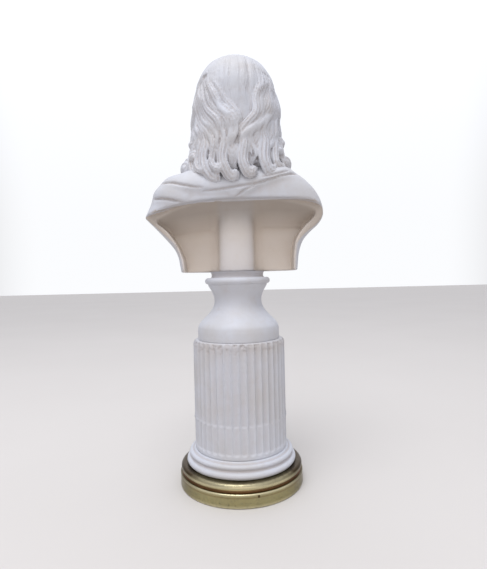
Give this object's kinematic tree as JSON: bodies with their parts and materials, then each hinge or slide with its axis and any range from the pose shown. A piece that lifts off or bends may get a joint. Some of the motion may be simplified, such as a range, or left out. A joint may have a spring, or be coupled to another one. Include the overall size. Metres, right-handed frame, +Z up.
{
  "type": "portrait bust",
  "caption": "Draped head-and-shoulders bust with wavy shoulder-length hair on a waisted socle, a fluted drum column, a double-roll base and a stepped gilt plinth.",
  "frame": {"origin": "centre of the felt face that rests on the table", "axes": "+Z up through the column and the head, -Y the way the face looks, +X to the bust's own left"},
  "size_m": [0.144, 0.1012, 0.35],
  "materials": {
    "white_marble": "fine matte marble, rubbed smooth, unpolished",
    "gilt_brass": "spun sheet brass, worn gilding with a dull olive patina",
    "pin_brass": "darkened brass pin heads",
    "core_wood": "turned beech, oiled",
    "felt": "pressed green wool felt",
    "cork": "ground cork sheet",
    "plaster": "cast plaster, matte",
    "steel": "zinc plated steel"
  },
  "bodies": {
    "root": {"felt_pad": "felt", "plinth_skirt": "gilt_brass", "skirt_pins": "pin_brass", "plinth_core": "core_wood", "column_base": "white_marble", "shaft_gasket": "cork", "column_shaft": "white_marble", "socle_gasket": "cork", "socle": "white_marble", "bust_gasket": "cork", "draped_shoulders": "white_marble", "head_and_hair": "white_marble", "neck_dowel": "steel", "anchor_plug": "plaster", "anchor_nut": "steel", "tie_rod": "steel", "rod_washer": "steel", "rod_nut": "steel"}
  },
  "joints": []
}
